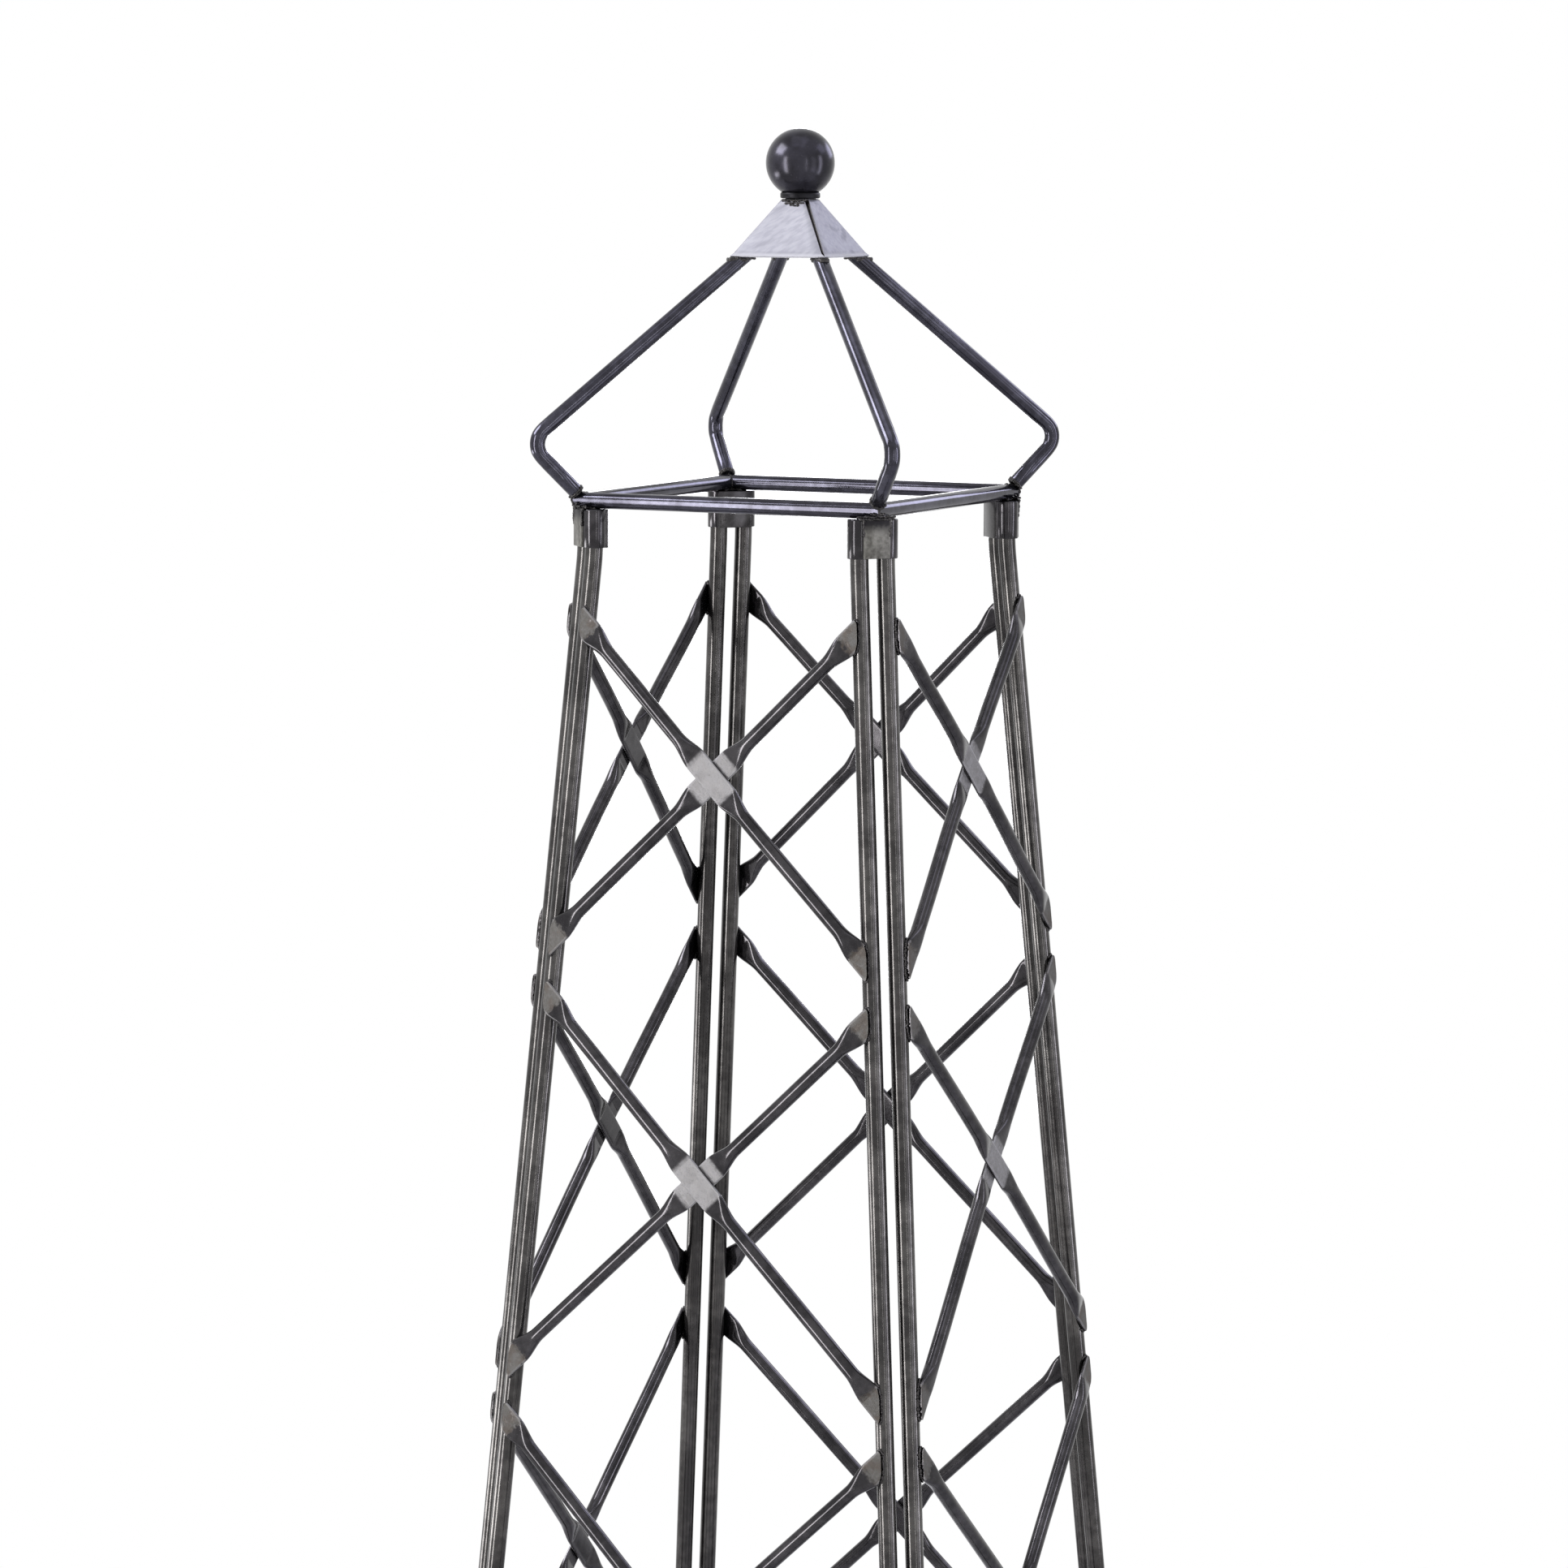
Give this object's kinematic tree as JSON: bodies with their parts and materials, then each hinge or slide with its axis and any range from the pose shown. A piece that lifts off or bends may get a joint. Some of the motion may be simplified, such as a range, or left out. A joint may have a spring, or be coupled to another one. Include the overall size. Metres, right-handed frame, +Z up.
{
  "type": "garden obelisk",
  "caption": "Tall square tapering lattice plant support in dark metal tube, with crossed braces and a lift-off crown of a ring, bent legs, a folded cap and a ball finial.",
  "frame": {"origin": "on the ground at the middle of the square base", "axes": "+Z up along the obelisk; the four lattice panels face -Y (front), +X (right), +Y (back) and -X (left), with the corners on the diagonals"},
  "size_m": [0.4662, 0.4662, 1.7502],
  "materials": {
    "graphite_coat": "satin graphite powder coat over round steel tube, long soft highlights",
    "crown_coat": "satin graphite powder coat, scuffed at the bends and welds",
    "socket_coat": "graphite powder coat over rough weld plates",
    "cap_coat": "thin graphite coat over brushed folded sheet",
    "dark_coat": "dark satin powder coat",
    "ball_coat": "dark satin powder coat, smooth",
    "fastener": "plain zinc plate"
  },
  "bodies": {
    "lattice": {"front_leg_left": "graphite_coat", "front_leg_right": "graphite_coat", "front_brace_1_outer": "graphite_coat", "front_brace_1_inner": "graphite_coat", "front_brace_2_outer": "graphite_coat", "front_brace_2_inner": "graphite_coat", "front_brace_3_outer": "graphite_coat", "front_brace_3_inner": "graphite_coat", "front_brace_4_outer": "graphite_coat", "front_brace_4_inner": "graphite_coat", "right_leg_left": "graphite_coat", "right_leg_right": "graphite_coat", "right_brace_1_outer": "graphite_coat", "right_brace_1_inner": "graphite_coat", "right_brace_2_outer": "graphite_coat", "right_brace_2_inner": "graphite_coat", "right_brace_3_outer": "graphite_coat", "right_brace_3_inner": "graphite_coat", "right_brace_4_outer": "graphite_coat", "right_brace_4_inner": "graphite_coat", "back_leg_left": "graphite_coat", "back_leg_right": "graphite_coat", "back_brace_1_outer": "graphite_coat", "back_brace_1_inner": "graphite_coat", "back_brace_2_outer": "graphite_coat", "back_brace_2_inner": "graphite_coat", "back_brace_3_outer": "graphite_coat", "back_brace_3_inner": "graphite_coat", "back_brace_4_outer": "graphite_coat", "back_brace_4_inner": "graphite_coat", "left_leg_left": "graphite_coat", "left_leg_right": "graphite_coat", "left_brace_1_outer": "graphite_coat", "left_brace_1_inner": "graphite_coat", "left_brace_2_outer": "graphite_coat", "left_brace_2_inner": "graphite_coat", "left_brace_3_outer": "graphite_coat", "left_brace_3_inner": "graphite_coat", "left_brace_4_outer": "graphite_coat", "left_brace_4_inner": "graphite_coat", "tie_bolt_1": "fastener", "tie_bolt_2": "fastener", "tie_bolt_3": "fastener", "tie_bolt_4": "fastener"},
    "crown": {"ring_bar_1": "crown_coat", "ring_bar_2": "crown_coat", "ring_bar_3": "crown_coat", "ring_bar_4": "crown_coat", "leg_socket_1": "socket_coat", "leg_socket_2": "socket_coat", "leg_socket_3": "socket_coat", "leg_socket_4": "socket_coat", "crown_leg_1": "crown_coat", "crown_leg_2": "crown_coat", "crown_leg_3": "crown_coat", "crown_leg_4": "crown_coat", "cap": "cap_coat", "finial_washer": "dark_coat", "finial_ball": "ball_coat", "finial_nut": "fastener"}
  },
  "joints": [
    {"name": "crown_lift", "type": "slide", "parent": "lattice", "child": "crown", "axis": [0, 0, 1], "range_m": [0, 0.06]}
  ]
}
